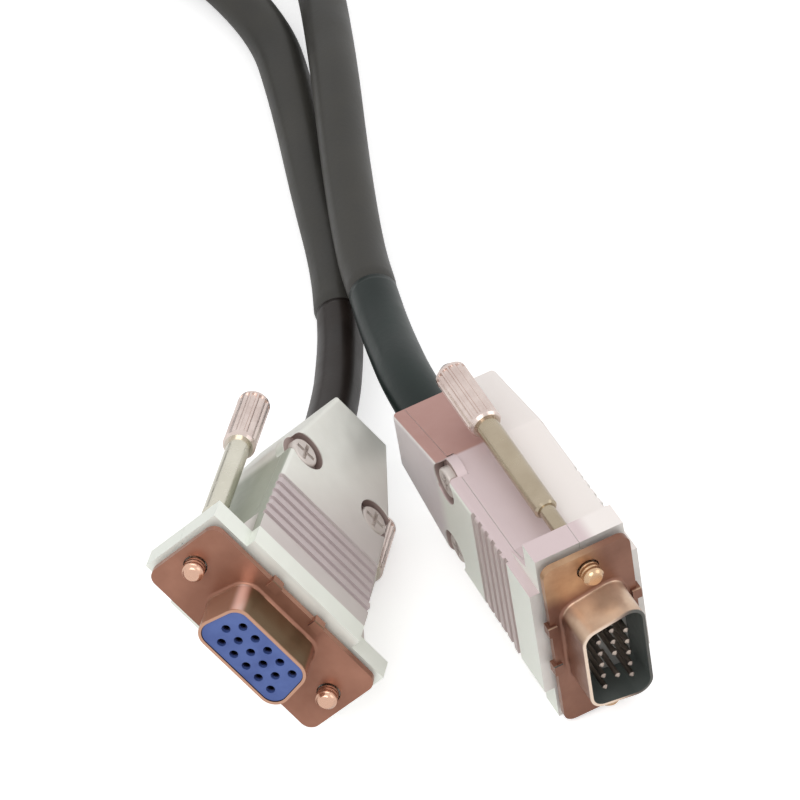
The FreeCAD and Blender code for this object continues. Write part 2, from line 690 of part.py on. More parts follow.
def wires(label, place, spots, outlet):
    """Conductors from the solder tails to the end of the cable's jacket."""
    pieces = []
    gap = val("fit")
    for i, (x, y) in enumerate(spots):
        start = Vector(number(x), number(y), -val("tail_end") - gap)
        end = Vector(start.x * val("wire_gather_x"), start.y * val("wire_gather_y") + number(outlet),
                     -val("boot_inside") + gap)
        wire = doc.addObject("Part::Cylinder", "%s_%02d" % (label, i + 1))
        wire.setExpression("Radius", "Sizes.wire_size / 2")
        wire.Height = (end - start).Length
        wire.Placement = place.multiply(Placement(start, Rotation(Z, end - start)))
        pieces.append(wire)
    bundle = doc.addObject("Part::Compound", label)
    bundle.Label = label
    bundle.Links = pieces
    doc.recompute()
    return bundle


# Cable

def rounded_path(points):
    """Straight runs joined by tangent arcs as large as the runs allow."""
    edges, radii = [], []
    start = points[0]
    for before, corner, after in zip(points, points[1:], points[2:]):
        into, out = (corner - before), (after - corner)
        shorter = min(into.Length, out.Length)
        into.normalize()
        out.normalize()
        turn = into.getAngle(out)
        radius = 0.45 * shorter / math.tan(turn / 2)
        cut = 0.45 * shorter
        first, last = corner - into * cut, corner + out * cut
        centre = first + (out - into * into.dot(out)).normalize() * radius
        halfway = centre + (corner - centre).normalize() * radius
        edges.append(Part.LineSegment(start, first).toShape())
        edges.append(Part.Arc(first, halfway, last).toShape())
        radii.append(radius)
        start = last
    edges.append(Part.LineSegment(start, points[-1]).toShape())
    return Part.Wire(edges), radii


def swept(label, points, size, end_size=None):
    path, radii = rounded_path(points)
    profiles = []
    for spot, way, wide in ((points[0], points[1] - points[0], size),
                            (points[-1], points[-1] - points[-2], end_size)):
        if wide:
            profiles.append(Part.Wire([Part.Circle(spot, way, wide / 2).toShape()]))
    tube = path.makePipeShell(profiles, True, False)
    piece = doc.addObject("Part::Feature", label)
    piece.Label = label
    piece.Shape = tube
    piece.Placement = Placement()
    print("%-18s length %.1f volume %.0f radii %s" % (
        label, path.Length, tube.Volume, " ".join("%.0f" % r for r in radii)))
    if not end_size:
        share = tube.Volume / (path.Length * math.pi * size * size / 4)
        print("%-18s volume over section times length %.4f" % ("", share))
    return piece


def cable_routes():
    """Points of both boots and both free stretches, floor heights worked out."""
    floor = floor_height()
    lying = floor + val("cable_size") / 2
    plug, socket = plug_place(), socket_place()

    def behind(place, outlet, setback):
        return place.multVec(Vector(0, val(outlet), -setback))

    def above(x, y, rise):
        return Vector(x, y, lying + rise)

    plug_boot = [behind(plug, "plug_outlet", val("boot_inside")), behind(plug, "plug_outlet", 50.0),
                 above(1.5, 66.0, 8.5), above(4.1, 76.0, 7.3)]
    socket_boot = [behind(socket, "socket_outlet", val("boot_inside")),
                   behind(socket, "socket_outlet", 53.5), above(-2.5, 72.8, 1.25),
                   above(0.8, 80.2, 0.5)]
    plug_side = [plug_boot[-1], above(6.5, 85.5, 6.6), above(13.1, 104.3, 6.6),
                 above(20.9, 124.5, 6.3), above(29.0, 147.0, 2.8), above(34.5, 168.0, 0.1),
                 above(37.3, 190.0, 0), above(38.0, 211.5, 0), above(38.0, 233.0, 0)]
    socket_side = [socket_boot[-1], above(4.9, 90.5, 0), above(8.9, 105.5, 0),
                   above(14.9, 125.9, 0), above(18.9, 143.5, 0), above(13.3, 165.5, 2.0),
                   above(-2.9, 181.3, 5.6), above(-23.8, 188.1, 7.2)]
    return plug_boot, socket_boot, plug_side, socket_side


def cable_coil(label):
    """The put-away length: three turns side by side in two layers, as one ring."""
    tall = 2 * val("cable_size")
    ring = doc.addObject("Part::Cut", label)
    outer = doc.addObject("Part::Cylinder", label + "_outside")
    inner = doc.addObject("Part::Cylinder", label + "_inside")
    outer.setExpression("Radius", "Sizes.coil_middle / 2 + 1.5 * Sizes.cable_size")
    inner.setExpression("Radius", "Sizes.coil_middle / 2 - 1.5 * Sizes.cable_size")
    for piece, extra in ((outer, 0.0), (inner, 1.0)):
        piece.Height = tall + 2 * extra
        piece.Placement = Placement(Vector(-9.2, 233.0, floor_height() - extra), Rotation())
    ring.Base, ring.Tool = outer, inner
    ring.Label = label
    doc.recompute()
    return ring


# The whole lead

def build():
    made = []
    plug, socket = plug_place(), socket_place()
    pins = contact_spots(-1, skip=8)
    holes = contact_spots(1)
    made.append(front_shell("plug_front_shell", plug, "{plug_shell_length}", "{plug_shell_width}"))
    made.append(front_shell("socket_front_shell", socket, "{socket_shell_length}",
                            "{socket_shell_width}"))
    made.append(plug_insert("plug_front_insulator", plug, pins))
    made.append(socket_insert("socket_front_insulator", socket, holes))
    made.append(rear_block("plug_rear_insulator", plug, pins, "{pin_size}"))
    made.append(rear_block("socket_rear_insulator", socket, holes, "{sleeve_size}"))
    made.append(contacts("plug_pins", plug, pins, "{pin_reach}", "{pin_size}"))
    made.append(contacts("socket_contacts", socket, holes,
                         "{shell_height} - {socket_insert_drop} - {sleeve_drop}",
                         "{sleeve_size}", "{sleeve_bore}"))
    for prefix, place, spots in (("plug", plug, pins), ("socket", socket, holes)):
        made.append(rear_shell(prefix + "_rear_shell", place))
        outlet = "{%s_outlet}" % prefix
        made.append(hood_cover(prefix + "_hood_cover", place, outlet))
        made.append(hood_tray(prefix + "_hood_tray", place, outlet))
        made.append(hood_screws(prefix + "_hood_screws", place))
        made.append(hood_nuts(prefix + "_hood_nuts", place))
        made.append(thumbscrew(prefix + "_thumbscrew_a", place, -1))
        made.append(thumbscrew(prefix + "_thumbscrew_b", place, 1))
        made.append(ferrule(prefix + "_ferrule", place, outlet))
        made.append(wires(prefix + "_wires", place, spots, outlet))
    plug_boot, socket_boot, plug_side, socket_side = cable_routes()
    boot, thin, jacket = val("boot_size"), val("boot_end_size"), val("cable_size")
    made.append(swept("plug_boot", plug_boot, boot, thin))
    made.append(swept("socket_boot", socket_boot, boot, thin))
    made.append(swept("cable_plug_side", plug_side, jacket))
    made.append(swept("cable_socket_side", socket_side, jacket))
    made.append(cable_coil("cable_coil"))
    return made


def check_and_write(pieces):
    doc.recompute()
    for obj in doc.Objects:
        if "Invalid" in obj.State or "Error" in obj.State:
            raise ValueError("%s did not recompute: %s" % (obj.Label, obj.State))
    for piece in pieces:
        if piece.Shape.isNull() or not piece.Shape.isValid():
            raise ValueError("%s has no valid shape" % piece.Label)
    for piece in pieces:
        piece.Shape.exportStep("parts/%s.step" % piece.Label)
    print("%d nodes written" % len(pieces))


check_and_write(build())
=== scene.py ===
import bmesh
import bpy
import json
import math
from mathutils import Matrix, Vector


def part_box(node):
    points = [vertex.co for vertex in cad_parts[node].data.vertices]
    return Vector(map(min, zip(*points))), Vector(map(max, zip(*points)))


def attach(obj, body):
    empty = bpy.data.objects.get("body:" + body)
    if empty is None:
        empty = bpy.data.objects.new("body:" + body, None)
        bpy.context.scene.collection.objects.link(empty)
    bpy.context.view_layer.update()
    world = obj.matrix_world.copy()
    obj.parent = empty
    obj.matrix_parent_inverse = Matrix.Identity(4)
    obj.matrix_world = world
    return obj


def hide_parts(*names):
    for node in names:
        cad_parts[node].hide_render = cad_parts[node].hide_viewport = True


# Video extension lead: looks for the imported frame. Metres, +Z up.

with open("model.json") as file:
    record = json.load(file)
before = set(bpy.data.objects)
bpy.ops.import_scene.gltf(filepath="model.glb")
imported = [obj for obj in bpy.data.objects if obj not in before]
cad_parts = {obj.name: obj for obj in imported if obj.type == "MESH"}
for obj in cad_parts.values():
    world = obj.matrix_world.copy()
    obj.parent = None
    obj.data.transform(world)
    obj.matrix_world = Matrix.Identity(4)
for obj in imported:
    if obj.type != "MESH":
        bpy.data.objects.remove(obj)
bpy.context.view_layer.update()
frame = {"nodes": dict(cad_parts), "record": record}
nodes = frame["nodes"]
MM = 0.001
FLOOR = min(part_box("cable_coil")[0].z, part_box("plug_hood_cover")[0].z)

# Camera
CAMERA_AIM = Vector((-11.4, 35.3, 15.7)) * MM
CAMERA_AZIMUTH = math.radians(-25.9)
CAMERA_ELEVATION = math.radians(44.6)
CAMERA_DISTANCE = 0.640
CAMERA_LENS_MM = 218.1

# How the connectors lie, and lengths along them, in mm behind the flange's face
PLUG_LEAN = math.radians(7.8)
SOCKET_ROLL = math.radians(45.9)
EAR_END = 5.4
BAND_START, BAND_END = 8.6, 19.0
COVER_FACE = 7.85
RECESS_SPOT, RECESS_SETBACK, RECESS_RADIUS, RECESS_DEPTH = 6.75, 27.6, 3.05, 1.5
SHOULDER = 29.5
KNOB_FRONT = 28.9
SHELL_HEIGHT = 6.0
THREAD_PITCH = 0.635
THREAD_START, THREAD_HEIGHT = 0.2, 0.12 * MM
GRAIN_HEIGHT = 0.06 * MM

# Cable
CABLE = 7.2 * MM
PLUG_SLEEVE = (7.7 * MM, 7.0 * MM)
SOCKET_SLEEVE = (7.0 * MM, 6.5 * MM)
SLEEVE_INSIDE = 37.0 * MM
PLUG_OUTLET = Vector((-math.cos(PLUG_LEAN), 0, -math.sin(PLUG_LEAN))) * 2.2 * MM
CORE = 5.6 * MM
JACKET_RIM = 1.2 * MM
LYING = FLOOR + CABLE / 2
COIL_CENTRE = Vector((-9.2, 233.0, 0.0)) * MM
COIL_RADII = (47.2 * MM, 40.0 * MM, 32.8 * MM)
COIL_TURN_POINTS = 16
COIL_TIE_AT = math.radians(120)
TIE_THICK = 0.6 * MM
TIE_WIDTH = 14 * MM

# Light and stage
LIGHT_AIM = (0, 0.03, 0)
SKY_ON_OBJECT, SKY_SEEN = 0.7, 1.0
FLOOR_HALF, FLOOR_GAP = 3.0, 0.05 * MM
FLOOR_LIFT = 0.45


# Node helpers

def new_material(name):
    material = bpy.data.materials.new(name)
    material.use_nodes = True
    return material, material.node_tree, material.node_tree.nodes["Principled BSDF"]


def add_node(tree, kind, **values):
    node = tree.nodes.new(kind)
    for key, value in values.items():
        if hasattr(node, key):
            setattr(node, key, value)
        else:
            node.inputs[key].default_value = value
    return node


def ramp(tree, source, stops):
    node = tree.nodes.new("ShaderNodeValToRGB")
    tree.links.new(source, node.inputs["Fac"])
    elements = node.color_ramp.elements
    while len(elements) < len(stops):
        elements.new(0.5)
    for element, (spot, color) in zip(elements, stops):
        element.position = spot
        element.color = (*color, 1) if len(color) == 3 else color
    return node.outputs["Color"]


def grey(value):
    return (value, value, value)


def noise(tree, scale, detail=4.0, roughness=0.55, stretch=(1, 1, 1)):
    place = tree.nodes.new("ShaderNodeTexCoord")
    mapping = tree.nodes.new("ShaderNodeMapping")
    mapping.inputs["Scale"].default_value = stretch
    tree.links.new(place.outputs["Object"], mapping.inputs["Vector"])
    node = tree.nodes.new("ShaderNodeTexNoise")
    node.inputs["Scale"].default_value = scale
    node.inputs["Detail"].default_value = detail
    node.inputs["Roughness"].default_value = roughness
    tree.links.new(mapping.outputs["Vector"], node.inputs["Vector"])
    return node.outputs["Fac"]


def bump(tree, bsdf, height, strength, distance):
    node = tree.nodes.new("ShaderNodeBump")
    node.inputs["Strength"].default_value = strength
    node.inputs["Distance"].default_value = distance
    tree.links.new(height, node.inputs["Height"])
    tree.links.new(node.outputs["Normal"], bsdf.inputs["Normal"])


def shade(red, green, blue):
    """Linear colour from the 0 to 255 values that a screen shows."""
    return tuple((c / 255 / 12.92) if c < 11 else ((c / 255 + 0.055) / 1.055) ** 2.4
                 for c in (red, green, blue))


def mount(name):
    found = [m for m in frame["record"]["mounts"] if m["name"] == name][0]
    return Vector(found["pos_m"]), Vector(found["axis"])


def connector_axes(end):
    """Origin and x, y, z axes of a connector: x along its flange, z out of its face."""
    origin, out = mount(end + "_interface")
    if end == "plug":
        along = Vector((math.sin(PLUG_LEAN), 0, -math.cos(PLUG_LEAN)))
    else:
        up = (Vector((0, 0, 1)) - out * out.z).normalized()
        along = up * math.cos(SOCKET_ROLL) - out.cross(-up) * math.sin(SOCKET_ROLL)
    return origin, along, out.cross(along), out


def calc(tree, operation, first, second):
    node = add_node(tree, "ShaderNodeMath", operation=operation)
    for slot, value in enumerate((first, second)):
        if isinstance(value, (int, float)):
            node.inputs[slot].default_value = value
        else:
            tree.links.new(value, node.inputs[slot])
    return node.outputs[0]


def along_axis(tree, output, direction):
    """Dot product of a texture coordinate, such as Object or Normal, with a direction."""
    place = tree.nodes.new("ShaderNodeTexCoord")
    dot = add_node(tree, "ShaderNodeVectorMath", operation="DOT_PRODUCT")
    tree.links.new(place.outputs[output], dot.inputs[0])
    dot.inputs[1].default_value = direction
    return dot.outputs["Value"]


def spot_mm(tree, end, axis):
    """Distance in mm from the connector's origin along its axis 0, 1 or 2."""
    axes = connector_axes(end)
    direction = axes[1 + axis]
    metres = calc(tree, "SUBTRACT", along_axis(tree, "Object", direction), axes[0].dot(direction))
    return calc(tree, "MULTIPLY", metres, 1 / MM)


def facing(tree, direction):
    return along_axis(tree, "Normal", direction)


def over(tree, value, edge, soft):
    """Mask that rises from 0 to 1 where the value passes the edge."""
    node = add_node(tree, "ShaderNodeMapRange", interpolation_type="SMOOTHSTEP")
    tree.links.new(value, node.inputs["Value"])
    node.inputs["From Min"].default_value = edge - soft
    node.inputs["From Max"].default_value = edge + soft
    return node.outputs["Result"]


def under(tree, value, edge, soft):
    return calc(tree, "SUBTRACT", 1.0, over(tree, value, edge, soft))


def both(tree, first, second):
    return calc(tree, "MULTIPLY", first, second)


def layered(tree, base, *layers):
    """Base colour with (colour, mask) layers painted over it in turn."""
    result = base
    for color, mask in layers:
        node = add_node(tree, "ShaderNodeMix", data_type="RGBA")
        tree.links.new(mask, node.inputs["Factor"])
        for slot, value in ((6, result), (7, color)):
            if isinstance(value, tuple):
                node.inputs[slot].default_value = (*value, 1)
            else:
                tree.links.new(value, node.inputs[slot])
        result = node.outputs[2]
    return result


def patches(tree, dark, light, scale=160):
    return ramp(tree, noise(tree, scale), [(0.35, dark), (0.68, light)])


def metal(name, paint, rough=(0.25, 0.45), metallic=1.0, grain=2600, relief=0.12):
    """Plated metal: colours from paint(tree), fine grain, uneven gloss."""
    material, tree, bsdf = new_material(name)
    bsdf.inputs["Metallic"].default_value = metallic
    tree.links.new(paint(tree), bsdf.inputs["Base Color"])
    gloss = noise(tree, 480, 5)
    tree.links.new(ramp(tree, gloss, [(0.3, grey(rough[0])), (0.7, grey(rough[1]))]),
                   bsdf.inputs["Roughness"])
    bump(tree, bsdf, noise(tree, grain, 3), relief, GRAIN_HEIGHT)
    return material


def plastic(name, dark, light, rough=(0.3, 0.45), patch=220, grain=2400, relief=0.12,
            coat=0.0, specular=0.5):
    material, tree, bsdf = new_material(name)
    blotches = noise(tree, patch)
    tree.links.new(ramp(tree, blotches, [(0.3, dark), (0.7, light)]), bsdf.inputs["Base Color"])
    gloss = noise(tree, patch * 2, 4)
    tree.links.new(ramp(tree, gloss, [(0.3, grey(rough[0])), (0.7, grey(rough[1]))]),
                   bsdf.inputs["Roughness"])
    bsdf.inputs["Specular IOR Level"].default_value = specular
    bsdf.inputs["Coat Weight"].default_value = coat
    bsdf.inputs["Coat Roughness"].default_value = 0.12
    bump(tree, bsdf, noise(tree, grain, 3), relief, GRAIN_HEIGHT)
    return material


def dress_node(name, material):
    data = nodes[name].data
    data.materials.clear()
    data.materials.append(material)
    for face in data.polygons:
        face.material_index = 0


# Materials on the carried-over nodes

def ribbed_band_shade_mask(tree, end, depth):
    """Mask of the ribbed band across the hood's cover, with the walls of its grooves, where
    painted shade darkens the plate.
    """
    on_cover = under(tree, spot_mm(tree, end, 1), -COVER_FACE + 0.55, 0.05)
    band = both(tree, under(tree, depth, -BAND_START, 0.3), over(tree, depth, -BAND_END, 0.3))
    return both(tree, on_cover, band)


def recess_shade_mask(tree, end, depth):
    """Mask of the walls and floor of the two recesses in the hood's cover, which get painted
    shade.
    """
    sideways = calc(tree, "ABSOLUTE", spot_mm(tree, end, 0), 0.0)
    off_x = calc(tree, "SUBTRACT", sideways, RECESS_SPOT)
    off_z = calc(tree, "ADD", depth, RECESS_SETBACK)
    reach = calc(tree, "SQRT", calc(tree, "ADD", both(tree, off_x, off_x),
                                    both(tree, off_z, off_z)), 0.0)
    sunk = both(tree, over(tree, spot_mm(tree, end, 1), -COVER_FACE + 0.15, 0.1),
                under(tree, spot_mm(tree, end, 1), -COVER_FACE + RECESS_DEPTH + 0.1, 0.05))
    return both(tree, sunk, under(tree, reach, RECESS_RADIUS, 0.05))


def socket_hood_colours_with_painted_light(tree):
    """Nickel plate, bright at the rear; painted reflection warmer to the front, painted shade
    grey-green on the narrow side.
    """
    along, wide = connector_axes("socket")[1:3]
    depth = spot_mm(tree, "socket", 2)
    cover = over(tree, facing(tree, -wide), 0.8, 0.1)
    side = over(tree, facing(tree, along), 0.8, 0.1)
    forward = calc(tree, "SUBTRACT", depth, spot_mm(tree, "socket", 0))
    return layered(
        tree, patches(tree, shade(222, 221, 213), shade(238, 238, 231), 70),
        # painted reflection: a warmer cast on the cover toward the front
        (shade(206, 198, 195), both(tree, cover, over(tree, forward, -22.0, 11.0))),
        # painted shade in the ribbed grip band
        (shade(198, 186, 186), ribbed_band_shade_mask(tree, "socket", depth)),
        # painted shade, grey-green, on the narrow side before the shoulder
        (shade(168, 172, 158), both(tree, side, over(tree, depth, -SHOULDER + 3.0, 1.5))),
        # painted shade in the two screw recesses
        (shade(158, 139, 134), recess_shade_mask(tree, "socket", depth)),
        # painted highlight on the ear and the hood's front
        (shade(238, 241, 233), over(tree, depth, -EAR_END, 0.1)))


def plug_hood_colours_with_painted_light(tree):
    """The same plate; painted reflection rosy on the narrow side, more so behind the shoulder,
    painted highlight pale at its right.
    """
    along, wide = connector_axes("plug")[1:3]
    depth = spot_mm(tree, "plug", 2)
    cover = over(tree, facing(tree, -wide), 0.8, 0.1)
    side = over(tree, facing(tree, -along), 0.7, 0.1)
    right = over(tree, spot_mm(tree, "plug", 1), 1.8, 1.0)
    return layered(
        tree, patches(tree, shade(214, 210, 205), shade(234, 231, 226), 70),
        # painted highlight over the cover
        (shade(240, 243, 235), cover),
        # painted reflection: a rosier cast on the cover behind the shoulder
        (shade(226, 218, 220), both(tree, cover, under(tree, depth, -SHOULDER, 2.0))),
        # painted shade in the ribbed grip band
        (shade(204, 191, 188), ribbed_band_shade_mask(tree, "plug", depth)),
        # painted reflection: rosy on the narrow side
        (shade(214, 196, 197), side),
        # painted reflection: deeper rose on the narrow side behind the shoulder
        (shade(182, 142, 134), both(tree, side, under(tree, depth, -SHOULDER, 0.3))),
        # painted highlight: pale on the narrow side's right
        (shade(240, 233, 229), both(tree, side, right)),
        # painted shade in the two screw recesses
        (shade(166, 146, 141), recess_shade_mask(tree, "plug", depth)))


def shell_masks(tree, end):
    """Masks of the D shell: all of it above the flange, its rim, its inner walls."""
    along, wide = connector_axes(end)[1:3]
    depth = spot_mm(tree, end, 2)
    shell = over(tree, depth, 0.25, 0.1)
    rim = over(tree, depth, SHELL_HEIGHT - 0.2, 0.15)
    outward = calc(tree, "ADD",
                   both(tree, spot_mm(tree, end, 0), facing(tree, along)),
                   both(tree, spot_mm(tree, end, 1), facing(tree, wide)))
    inner = both(tree, shell, under(tree, outward, -0.5, 0.4))
    return shell, rim, inner


def socket_flange_colours_with_painted_light(tree):
    """Copper-brown plate; painted reflection dark on the shell's long side, painted highlight
    pale where its ends turn.
    """
    along, wide = connector_axes("socket")[1:3]
    shell, rim, inner = shell_masks(tree, "socket")
    long_side = over(tree, facing(tree, -wide), 0.93, 0.05)
    end_face = over(tree, facing(tree, along), 0.55, 0.25)
    turned = both(tree, over(tree, facing(tree, -wide), 0.45, 0.2), end_face)
    return layered(
        tree, patches(tree, shade(142, 98, 80), shade(168, 120, 100), 110),
        # painted reflection: dark on the shell's long side
        (shade(112, 92, 68), both(tree, shell, long_side)),
        # painted reflection: paler on the shell's ends
        (shade(186, 148, 126), both(tree, shell, end_face)),
        # painted highlight where the ends turn into the long side
        (shade(244, 216, 206), both(tree, shell, turned)),
        # painted highlight on the rim
        (shade(196, 152, 128), rim),
        # painted shade on the shell's inner walls
        (shade(70, 56, 60), inner))


def plug_flange_colours_with_painted_light(tree):
    """Red-brown plate below; painted reflection golden near the upper screw, painted highlight on
    a pale edge round the shell.
    """
    along = connector_axes("plug")[1]
    shell, rim, inner = shell_masks(tree, "plug")
    across = spot_mm(tree, "plug", 0)
    sideways = spot_mm(tree, "plug", 1)
    upper = under(tree, across, -9.0, 1.5)
    near = under(tree, sideways, 0.5, 2.5)
    return layered(
        tree, patches(tree, shade(122, 84, 68), shade(148, 106, 88), 110),
        # painted reflection: golden near the upper screw
        (patches(tree, shade(166, 128, 98), shade(198, 162, 128), 200),
         both(tree, upper, near)),
        # painted reflection: paler on the shell's end
        (patches(tree, shade(196, 166, 142), shade(220, 194, 170), 260),
         both(tree, shell, over(tree, facing(tree, -along), 0.4, 0.3))),
        # painted highlight on the rim's near side
        (shade(238, 216, 196), both(tree, rim, near)),
        # painted shade on the rim's far side
        (shade(92, 92, 88), both(tree, rim, over(tree, sideways, 1.5, 2.0))),
        # painted shade: the shell's inner walls in the dull slate tone they show in shade
        (shade(118, 124, 121), inner))


def screw_paint(end):
    """Rosy knob, metal shank, warm tip, in colours that stay the same when the screw turns."""
    shank = {"plug": (shade(166, 152, 130), shade(184, 171, 150)),
             "socket": (shade(208, 204, 189), shade(222, 218, 204))}[end]
    tip = {"plug": shade(206, 172, 138), "socket": shade(220, 178, 155)}[end]

    def paint(tree):
        depth = spot_mm(tree, end, 2)
        return layered(
            tree, patches(tree, *shank, 120),
            (patches(tree, shade(208, 190, 183), shade(228, 213, 206), 300),
             under(tree, depth, -KNOB_FRONT, 0.2)),
            (tip, over(tree, depth, -1.0, 0.3)))
    return paint


def halved(tree, value):
    """From the range -1 to 1 to the range 0 to 1."""
    return calc(tree, "MULTIPLY", calc(tree, "ADD", value, 1.0), 0.5)


def add_thread(material, end):
    """Turns of a fine thread on the part of the screw that stands out of the flange."""
    tree = material.node_tree
    bsdf = tree.nodes["Principled BSDF"]
    depth = spot_mm(tree, end, 2)
    wave = calc(tree, "SINE", calc(tree, "MULTIPLY", depth, 2 * math.pi / THREAD_PITCH), 0.0)
    height = both(tree, halved(tree, wave), over(tree, depth, THREAD_START, 0.1))
    bump(tree, bsdf, height, 0.6, THREAD_HEIGHT)


def dress_nodes():
    hoods = {"plug": metal("plug_hood_metal_painted_light", plug_hood_colours_with_painted_light, (0.42, 0.56), 0.4),
             "socket": metal("socket_hood_metal_painted_light", socket_hood_colours_with_painted_light, (0.42, 0.56), 0.4)}
    flanges = {"plug": metal("plug_flange_metal_painted_light", plug_flange_colours_with_painted_light, (0.28, 0.42), 0.65),
               "socket": metal("socket_flange_metal_painted_light", socket_flange_colours_with_painted_light, (0.28, 0.42), 0.65)}
    knobs = {end: metal(end + "_thumbscrew_plate", screw_paint(end), (0.18, 0.30), 0.9)
             for end in ("plug", "socket")}
    for end, knob in knobs.items():
        add_thread(knob, end)
    screw = metal("hood_screw_plate",
                  lambda tree: patches(tree, shade(202, 192, 186), shade(224, 216, 210)),
                  (0.4, 0.55), 0.5)
    pin = metal("pin_plate",
                lambda tree: patches(tree, shade(150, 136, 128), shade(186, 172, 160)))
    contact = metal("contact_plate",
                    lambda tree: patches(tree, shade(52, 56, 92), shade(84, 84, 110)))
    brass = metal("crimp_plate",
                  lambda tree: patches(tree, shade(172, 148, 104), shade(200, 178, 136)))
    black = plastic("insulator_black", (0.012, 0.011, 0.010), (0.030, 0.026, 0.022), (0.25, 0.4))
    slate = plastic("insulator_slate", shade(130, 128, 125), shade(150, 148, 144), (0.4, 0.55))
    blue = plastic("insulator_blue", shade(62, 82, 142), shade(84, 106, 166), (0.35, 0.5))
    conductor = plastic("conductor_sleeve", (0.42, 0.36, 0.28), (0.55, 0.49, 0.40))
    for end in ("plug", "socket"):
        dress_node(end + "_front_shell", flanges[end])
        dress_node(end + "_rear_shell", flanges[end])
        dress_node(end + "_rear_insulator", black)
        dress_node(end + "_hood_cover", hoods[end])
        dress_node(end + "_hood_tray", hoods[end])
        dress_node(end + "_hood_screws", screw)
        dress_node(end + "_hood_nuts", screw)
        dress_node(end + "_thumbscrew_a", knobs[end])
        dress_node(end + "_thumbscrew_b", knobs[end])
        dress_node(end + "_ferrule", brass)
        dress_node(end + "_wires", conductor)
    dress_node("plug_front_insulator", slate)
    dress_node("socket_front_insulator", blue)
    dress_node("plug_pins", pin)
    dress_node("socket_contacts", contact)


# Cable, in one smooth line from hood to hood

def smooth(share):
    share = min(max(share, 0.0), 1.0)
    return share * share * (3 - 2 * share)


def coil_spot(angle):
    """Point of the wound length, angle counted from its east side, in radians."""
    turn, within = divmod(math.degrees(angle) + 1e-6, 360)
    turn = int(turn)
    if turn < 3:
        radius = COIL_RADII[turn]
        if turn < 2:
            radius += (COIL_RADII[turn + 1] - radius) * smooth((within - 300) / 60)
    else:
        radius = COIL_RADII[5 - turn]
        if turn < 5:
            radius += (COIL_RADII[4 - turn] - radius) * smooth((within - 255) / 60)
    climb = 1.0 if turn > 2 else smooth((within - 270) / 60) if turn == 2 else 0.0
    off_tie = (angle - COIL_TIE_AT + math.pi) % (2 * math.pi) - math.pi
    tie_lift = TIE_THICK * (1 - smooth(abs(off_tie) / math.radians(60)))
    reach = radius / math.cos(math.pi / COIL_TURN_POINTS)
    return COIL_CENTRE + Vector((reach * math.cos(angle), reach * math.sin(angle),
                                 LYING + climb * CABLE + tie_lift))


def behind(mount_name, setback):
    spot, out = mount(mount_name)
    return spot - out * setback


def at(x, y, above_lying=0.0):
    return Vector((x * MM, y * MM, LYING + above_lying * MM))


PLUG_JOIN = at(4.1, 76.0, 7.3)
SOCKET_JOIN = at(0.8, 80.2, 0.5)


def cable_route():
    """Control points from inside the plug's hood to inside the socket's hood."""
    plug_sleeve = [behind("plug_interface", SLEEVE_INSIDE) + PLUG_OUTLET,
                   behind("plug_interface", 50.0 * MM) + PLUG_OUTLET, at(1.5, 66.0, 8.5)]
    plug_side = [PLUG_JOIN, at(6.5, 85.5, 6.6), at(13.1, 104.3, 6.6), at(20.9, 124.5, 6.3),
                 at(29.0, 147.0, 2.8), at(34.5, 168.0, 0.1), at(37.3, 190.0), at(38.0, 211.5)]
    last = math.radians(5 * 360 + 252)
    step = 2 * math.pi / COIL_TURN_POINTS
    count = int(last / step)
    coil = [coil_spot((i + 0.5) * step) for i in range(count)]
    socket_side = [at(-2.9, 181.3, 5.6), at(13.3, 165.5, 2.0), at(18.9, 143.5), at(14.9, 125.9),
                   at(8.9, 105.5), at(4.9, 90.5), SOCKET_JOIN]
    socket_sleeve = [at(-2.5, 72.8, 1.25), behind("socket_interface", 53.5 * MM),
                     behind("socket_interface", SLEEVE_INSIDE)]
    return plug_sleeve + plug_side + coil + socket_side + socket_sleeve


def spline_points(points):
    """Points along the smooth line that follows the route's control points."""
    data = bpy.data.curves.new("cable_route", "CURVE")
    data.dimensions = "3D"
    data.resolution_u = 10
    spline = data.splines.new("NURBS")
    spline.points.add(len(points) - 1)
    for spot, point in zip(spline.points, points):
        spot.co = (*point, 1)
    spline.order_u = 3
    spline.use_endpoint_u = True
    route = bpy.data.objects.new("cable_route", data)
    bpy.context.scene.collection.objects.link(route)
    bpy.context.view_layer.update()
    evaluated = route.evaluated_get(bpy.context.evaluated_depsgraph_get())
    mesh = bpy.data.meshes.new_from_object(evaluated)
    line = [v.co.copy() for v in mesh.vertices]
    bpy.data.objects.remove(route)
    bpy.data.curves.remove(data)
    bpy.data.meshes.remove(mesh)
    return line


def nearest(line, spot):
    return min(range(len(line)), key=lambda i: (line[i] - spot).length)


def measured(line):
    return sum((b - a).length for a, b in zip(line, line[1:]))


def tube(name, line, radius_at, sides):
    """Closed tube along points, with radius_at(distance along them)."""
    mesh = bmesh.new()
    along = 0.0
    side = None
    rings = []
    for i, point in enumerate(line):
        ahead = line[min(i + 1, len(line) - 1)] - line[max(i - 1, 0)]
        ahead.normalize()
        if side is None:
            side = ahead.orthogonal()
        side = (side - ahead * side.dot(ahead)).normalized()
        up = ahead.cross(side)
        if i:
            along += (point - line[i - 1]).length
        size = radius_at(along)
        rings.append([mesh.verts.new(point + size * (side * math.cos(a) + up * math.sin(a)))
                      for a in (2 * math.pi * k / sides for k in range(sides))])
    for a, b in zip(rings, rings[1:]):
        for k in range(sides):
            mesh.faces.new((a[k], a[(k + 1) % sides], b[(k + 1) % sides], b[k]))
    mesh.faces.new(rings[0][::-1])
    mesh.faces.new(rings[-1])
    return finished(name, mesh)


